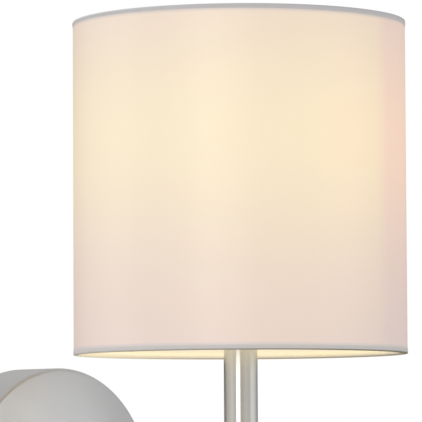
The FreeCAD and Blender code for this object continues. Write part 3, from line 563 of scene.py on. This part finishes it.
def lit_cloth():
    """White cotton over a translucent backing. The bulb's light comes through it, less with distance."""
    finish = ShadeFinish("shade_cloth_lit", roughness=0.9, coat_weight=0.3, coat_roughness=0.3)
    threads = finish.weave(THREAD_PITCH)
    bands = finish.add("ShaderNodeCombineXYZ", {
        "X": finish.across, "Z": finish.maths("MULTIPLY", finish.up, SLUB_STRETCH)})
    slubs = finish.speckle(bands.outputs[0], SLUB_LUMPS, 3.0)
    streaks = finish.maths("COSINE", finish.maths("MULTIPLY_ADD", finish.across, TURN / STREAKS / SHADE_R,
                                                  -STREAK_AT * TURN / STREAKS))
    tone = finish.maths("ADD", finish.spans(threads, 0.0, 1.0, -THREAD_TONE, THREAD_TONE),
                        finish.uneven(slubs, -SLUB_TONE, SLUB_TONE))
    tone = finish.maths("MULTIPLY_ADD", streaks, -STREAK_TONE, tone)
    degrees = finish.maths("MULTIPLY", finish.across, 360 / TURN / SHADE_R)

    def between(starts, ends):
        return finish.maths("MULTIPLY", finish.spans(degrees, *starts, smooth=True),
                            finish.spans(degrees, *ends, smooth=True))

    side_band = between(SIDE_BAND_STARTS, SIDE_BAND_ENDS)
    right = between(RIGHT_STARTS, RIGHT_ENDS)
    warm_light_share = finish.spans(degrees, *WARM_LIGHT_SIDE, smooth=True)
    # Painted light: cool and warm tints by side, and the dimmer band round the right side.
    tint = finish.mix(side_band, finish.mix(warm_light_share, rgba(CLOTH_COOL_LIGHT), rgba(CLOTH_WARM_LIGHT)), rgba(CLOTH_SIDE_BAND))
    finish.give("Base Color", finish.vector("MULTIPLY", finish.maths("ADD", tone, CLOTH_ALBEDO), tint))
    near = finish.near_bulb()
    plain, righter, side_band_glow = [finish.mix(near, rgba(far_glow), rgba(near_glow))
                               for far_glow, near_glow in (GLOW, GLOW_RIGHT, GLOW_SIDE_BAND)]
    finish.give("Emission Color", finish.mix(side_band, finish.mix(right, plain, righter), side_band_glow))
    to_end = finish.maths("SUBTRACT", SHADE_HEIGHT / 2, finish.maths("ABSOLUTE", finish.up))
    top_leg = finish.spans(finish.lit_side_share(), 0.0, 1.0, *TOP_LEG[::-1])
    # The lower half of the cloth meets the bottom tape, and the upper half meets the top one.
    leg = finish.spans(finish.up, 0.0, 1 * MM, TAPE_LEG, top_leg)
    to_tape = finish.maths("SUBTRACT", to_end, leg)
    clear = finish.spans(to_tape, 0.0, TAPE_SHADOW, TAPE_DIMMED, 1.0, smooth=True)
    level = finish.maths("MULTIPLY_ADD", tone, GLOW_UNEVEN, 1.0)
    finish.give("Emission Strength", finish.maths("MULTIPLY", level, clear))
    finish.bump(threads, THREAD_DEPTH, 0.4)
    return finish.material


def backing():
    """The translucent sheet inside the cloth, which glows with the bulb's light."""
    finish = ShadeFinish("backing_sheet_lit", roughness=0.45)
    tone = finish.speckle(finish.where, BACKING_PATCHES, 3.0)
    finish.give("Base Color", finish.mix(tone, *[rgba(colour) for colour in BACKING_TONES]))
    finish.give("Emission Color", finish.mix(finish.near_bulb(), *[rgba(glow) for glow in GLOW_INSIDE]))
    finish.give("Emission Strength", finish.uneven(tone, 0.97, 1.03))
    finish.bump(finish.speckle(finish.where, BACKING_GRAIN), MARK_DEPTH, 0.3)
    return finish.material


def tape(name, colour, rim, inward, fold_shade):
    """Woven edge tape: a painted shade line along its fold, painted light on one side, and a little of the
    bulb's light through it.

    inward is 1 where the shade is above the rim and -1 where it is below.
    """
    finish = ShadeFinish(name, roughness=0.85, sheen_weight=0.1, sheen_roughness=0.5)
    threads = finish.weave(TAPE_PITCH)
    patches = finish.speckle(finish.where, TAPE_PATCHES, 3.0)
    tone = finish.maths("ADD", finish.spans(threads, 0.0, 1.0, 0.46, 0.5),
                        finish.uneven(patches, -0.02, 0.02))
    cloth = finish.mix(tone, rgba(colour, 0.8), rgba(colour, 1.2))
    share = finish.lit_side_share()
    lit_side = finish.maths("POWER", share, 2.0)
    from_rim = finish.maths("MULTIPLY", finish.maths("SUBTRACT", finish.up, rim - SHADE_CENTRE.z), inward)
    # Painted shade: a dark line along the fold, lighter on the lit side.
    darkest_fold_shade = finish.vector("ADD", fold_shade, finish.maths("MULTIPLY", lit_side, FOLD_SHADE_LIT_LIFT))
    fold_shade_share = finish.spans(from_rim, *FOLD_SHADE_SPAN, 1.0, 0.0, smooth=True)
    shaded = finish.mix(fold_shade_share, rgba(grey(1.0)), darkest_fold_shade)
    shaded = finish.vector("MULTIPLY", shaded, finish.spans(share, 0.0, 1.0, *LIT_SIDE_TONES))
    finish.give("Base Color", finish.vector("MULTIPLY", cloth, shaded))
    out = finish.vector("LENGTH", finish.outward)
    within = finish.spans(out, SHADE_R - INSIDE_FULL, SHADE_R - INSIDE_STARTS, 1.0, 0.0)
    finish.give("Emission Color", finish.mix(within, rgba(GLOW_TAPE), rgba(GLOW_FOLD)))
    outside = finish.spans(from_rim, *OUTER_SPAN, smooth=True)
    inside = finish.spans(from_rim, *INNER_SPAN, FOLD_LEAST, 1.0, smooth=True)
    # Painted light: on the lit side the inner leg glows more, right down to the rim.
    inside = finish.maths("MAXIMUM", inside, finish.maths("MULTIPLY", lit_side, FOLD_LIT_SIDE))
    finish.give("Emission Strength", finish.spans(within, 0.0, 1.0, outside, inside))
    finish.bump(threads, TAPE_THREAD_DEPTH, 0.5)
    return finish.material


# ---------------------------------------------------------------- which node gets which finish

NICKEL = (0.70, 0.685, 0.645)
NICKEL_FACE = (0.523, 0.520, 0.517)
ZINC = (0.62, 0.63, 0.65)
BRASS = (0.80, 0.60, 0.28)


def dress():
    """Gives every node of the frame its finish."""
    upright = brushed("nickel_upright", NICKEL, 0.20, "Z")
    level = brushed("nickel_level", NICKEL, 0.20, "Y")
    face = turned_face("nickel_face", NICKEL_FACE, 0.40)
    by_slot = {
        "satin_nickel": upright,
        "zinc_steel": plain_metal("zinc", ZINC, 0.38),
        "brass": plain_metal("brass_bare", BRASS, 0.30),
        "bulb_metal": plain_metal("bulb_cap_metal", (0.78, 0.77, 0.74), 0.25),
        "white_plastic": moulded("holder_plastic", (0.86, 0.86, 0.84), 0.45),
        "white_gloss": moulded("bulb_plastic", (0.88, 0.88, 0.87), 0.22, GLOSS_DEPTH),
        "opal": opal(),
        "board": moulded("board_white", (0.82, 0.84, 0.80), 0.4),
        "black_glass": moulded("black_vitrite", (0.03, 0.03, 0.035), 0.15),
        "ceramic_white": moulded("ceramic", (0.86, 0.85, 0.81), 0.55),
        "nylon": moulded("nylon_grey", (0.20, 0.20, 0.21), 0.5),
        "cable_clear": moulded("cable_sheath", (0.82, 0.82, 0.80), 0.35),
        "lead_earth": earth_stripes(),
        "lead_brown": moulded("brown_insulation", (0.16, 0.075, 0.04), 0.4),
        "white_wire": moulded("wire_coating", (0.85, 0.85, 0.83), 0.3),
        "shade_backing": backing(),
        "shade_cloth": lit_cloth(),
        "trim_tape_pale": tape("tape_pale", TAPE_PALE, BOTTOM_RIM, 1, FOLD_SHADE_PALE_TAPE),
        "trim_tape_grey": tape("tape_grey", TAPE_GREY, TOP_RIM, -1, FOLD_SHADE_GREY_TAPE),
    }
    for thing in nodes.values():
        slot = thing.data.materials[0].name
        thing.data.materials.clear()
        thing.data.materials.append(by_slot[slot])
    for name in ("arm_tube", "neck"):
        nodes[name].data.materials[0] = level
    nodes["wall_plate"].data.materials[0] = face
    return by_slot


# ---------------------------------------------------------------- shapes

SHADE_STEPS = 480               # how many flats make a round of the cloth and the tapes
SEAM_TURN = math.radians(90)    # the shade's seam faces the wall


def piece(name, shape, finish, sharp_from):
    """An object from a bmesh, shaded smooth but for its sharp edges, riding on the arm."""
    mesh = bpy.data.meshes.new(name)
    bmesh.ops.recalc_face_normals(shape, faces=shape.faces)
    shape.to_mesh(mesh)
    shape.free()
    mesh.shade_smooth()
    mesh.set_sharp_from_angle(angle=math.radians(sharp_from))
    mesh.materials.append(finish)
    thing = bpy.data.objects.new(name, mesh)
    bpy.context.scene.collection.objects.link(thing)
    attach(thing, "arm")
    return thing


def turned(profile, segments, centre, wave):
    """A closed profile of (radius, height) points turned about a vertical line. wave(turn, radius, height, i)
    gives each point's own radius and height."""
    shape = bmesh.new()
    rings = []
    for step in range(segments):
        turn = TURN * step / segments
        ring = []
        for i, (radius, height) in enumerate(profile):
            radius, height = wave(turn, radius, height, i)
            ring.append(shape.verts.new((centre.x + radius * math.cos(turn),
                                         centre.y + radius * math.sin(turn), height)))
        rings.append(ring)
    for step, ring in enumerate(rings):
        after = rings[(step + 1) % segments]
        for i in range(len(ring)):
            j = (i + 1) % len(ring)
            shape.faces.new((ring[i], ring[j], after[j], after[i]))
    return shape


def spread(first, last, count):
    """Evenly spaced numbers from first to last, with both."""
    return [first + (last - first) * i / (count - 1) for i in range(count)]


def seam_share(turn, soft_side, sharp_side):
    """0 away from the seam, rising slowly to 1 at it and falling off sharply past it. Sides in degrees."""
    off = (turn - SEAM_TURN + math.pi) % TURN - math.pi
    if off < 0:
        return max(0.0, 1 + off / math.radians(soft_side)) ** 2
    return max(0.0, 1 - off / math.radians(sharp_side))


def ripple(turn, height, round_it, up_it):
    """Smooth unevenness from -1 to 1. The last two numbers are how quickly it changes."""
    return noise.noise(Vector((round_it * math.cos(turn), round_it * math.sin(turn), height * up_it)))


CLOTH_ROWS = 60
CLOTH_ROWS_INSIDE = 12
CLOTH_CLEAR = 0.1 * MM          # between the cloth and its backing
CLOTH_LAP = 0.25 * MM
CLOTH_WAVE = 0.05 * MM
CLOTH_TUCK = 0.5 * MM           # how far the cloth's cut edge stays inside the tape's fold


def shade_cloth(finish):
    """The cotton sheet, glued round the backing and lapped over itself at the seam."""
    low, high = cloth_low.z + CLOTH_TUCK, cloth_high.z - CLOTH_TUCK
    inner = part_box("shade_liner")[1].x - SHADE_CENTRE.x + CLOTH_CLEAR
    profile = [(SHADE_R, z) for z in spread(low, high, CLOTH_ROWS)]
    profile += [(inner, z) for z in spread(high, low, CLOTH_ROWS_INSIDE)]

    def wave(turn, radius, height, i):
        if i >= CLOTH_ROWS:
            return radius, height
        ends = min(height - low, high - height) / (3 * TAPE_LEG)
        share = min(1.0, max(0.0, ends - 0.5))
        lap = CLOTH_LAP * seam_share(turn, 7, 0.6)
        return radius + (lap + CLOTH_WAVE * ripple(turn, height, 3, 14)) * share, height

    cloth = piece("shade_cloth_sheet", turned(profile, SHADE_STEPS, SHADE_CENTRE, wave), finish,
                  sharp_from=38)
    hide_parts("shade_fabric")
    return cloth


TAPE_THICKNESS = 0.22 * MM
TAPE_ROUND = 1.9 * MM           # the fold's inner edge goes round the wire
TAPE_EDGE = 0.4 * MM            # its outer edge is pressed flatter
TAPE_DEPTH = 4.7 * MM           # from the cloth's face to the inner leg, over the wire
TAPE_WAVE = 0.07 * MM
TAPE_LAP = 0.1 * MM
TAPE_JOIN = 0.12                # radians from the tape's own join to the seam


def edge_tape(node, finish, leg, upward):
    """Tape folded round a rim: a leg outside, a rolled edge, and a leg inside that hides the wire.

    leg is how far the outer leg reaches from the rim, at the tape's pale side and opposite.
    """
    low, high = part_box(node)
    outer, height = SHADE_R + TAPE_THICKNESS, high.z - low.z
    inner = SHADE_R - TAPE_DEPTH
    rim = low.z if upward else high.z
    sign = 1 if upward else -1
    bend = [math.radians(a) for a in spread(0, 90, 7)]

    def fold(gap):
        """The fold's face at a gap inside the outermost one, from its outer leg's end to its inner one's."""
        tight, wide = TAPE_EDGE - gap, TAPE_ROUND - gap
        points = [(outer - gap, 0.0)]
        points += [(outer - TAPE_EDGE + tight * math.cos(a), TAPE_EDGE - tight * math.sin(a)) for a in bend]
        points += [(inner + TAPE_ROUND - wide * math.sin(a), TAPE_ROUND - wide * math.cos(a)) for a in bend]
        return points + [(inner + gap, height)]

    profile = [(radius, rim + sign * up) for radius, up in fold(0.0) + fold(TAPE_THICKNESS)[::-1]]
    outer_ends = (0, len(profile) - 1)

    def wave(turn, radius, up, i):
        lap = TAPE_LAP * seam_share(turn + TAPE_JOIN, 9, 0.8)
        if i in outer_ends:
            lit_side = 0.5 + 0.5 * (LIT_SIDE.x * math.cos(turn) + LIT_SIDE.y * math.sin(turn))
            return radius + lap, rim + sign * (leg[1] + (leg[0] - leg[1]) * lit_side)
        outward = 1 if radius > (inner + outer) / 2 else -1
        return radius + outward * min(lap + TAPE_WAVE * ripple(turn, up, 22, 90), lap), up

    tape_piece = piece(node + "_tape", turned(profile, SHADE_STEPS, SHADE_CENTRE, wave), finish,
                       sharp_from=50)
    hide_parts(node)
    return tape_piece


THREAD_STEP = 3.5 * MM
SLEEVE_THREAD = 0.6 * MM
SLEEVE_BORE = 17.5 * MM
SLEEVE_ROWS = 110
SLEEVE_ROWS_INSIDE = 8
SLEEVE_STEPS = 128


def threaded_sleeve(finish):
    """The lampholder's sleeve, with the round thread that the shade rings turn on."""
    low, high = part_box("holder_body")
    centre, outer = (low + high) / 2, (high.x - low.x) / 2
    profile = [(outer, z) for z in spread(low.z, high.z, SLEEVE_ROWS)]
    profile += [(SLEEVE_BORE, z) for z in spread(high.z, low.z, SLEEVE_ROWS_INSIDE)]

    def wave(turn, radius, height, i):
        if i >= SLEEVE_ROWS:
            return radius, height
        plain = min(height - low.z, high.z - height) / THREAD_STEP
        groove = 0.5 - 0.5 * math.cos(TURN * height / THREAD_STEP - turn)
        return radius - SLEEVE_THREAD * groove * min(1.0, max(0.0, plain - 0.3)), height

    sleeve = piece("holder_sleeve", turned(profile, SLEEVE_STEPS, centre, wave), finish,
                   sharp_from=60)
    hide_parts("holder_body")


RING_RIBS = 40
RIB_STEPS = 12
RIB_DEPTH = 0.5 * MM
RING_BEVEL = 0.5 * MM
RING_CLEAR = 0.1 * MM           # between a ring and the sleeve's thread


def ribbed_ring(node, finish):
    """A shade ring with bevelled edges and ribs for the fingers round its rim."""
    low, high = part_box(node)
    centre, outer = (low + high) / 2, (high.x - low.x) / 2
    inner = (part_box("holder_body")[1].x - centre.x) + RING_CLEAR
    profile = [(inner, low.z), (outer - RING_BEVEL, low.z), (outer, low.z + RING_BEVEL),
               (outer, high.z - RING_BEVEL), (outer - RING_BEVEL, high.z), (inner, high.z)]

    def wave(turn, radius, height, i):
        if radius == inner:
            return radius, height
        ridge = max(0.0, math.cos(RING_RIBS * turn)) ** 0.5
        return radius - RIB_DEPTH * (1 - ridge), height

    ring = piece(node + "_ribbed", turned(profile, RING_RIBS * RIB_STEPS, centre, wave), finish,
                 sharp_from=50)
    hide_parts(node)


# ---------------------------------------------------------------- the scene

camera()
studio()
floor()
bpy.context.scene.view_settings.view_transform = "Standard"
finishes = dress()
bulb_light()
plate_light()
cloth = shade_cloth(finishes["shade_cloth"])
tapes = [
    edge_tape("bottom_trim", finishes["trim_tape_pale"], (TAPE_LEG, TAPE_LEG), upward=True),
    edge_tape("top_trim", finishes["trim_tape_grey"], TOP_LEG, upward=False),
]
threaded_sleeve(finishes["white_plastic"])
ribbed_ring("shade_ring_lower", finishes["white_plastic"])
ribbed_ring("shade_ring_upper", finishes["white_plastic"])
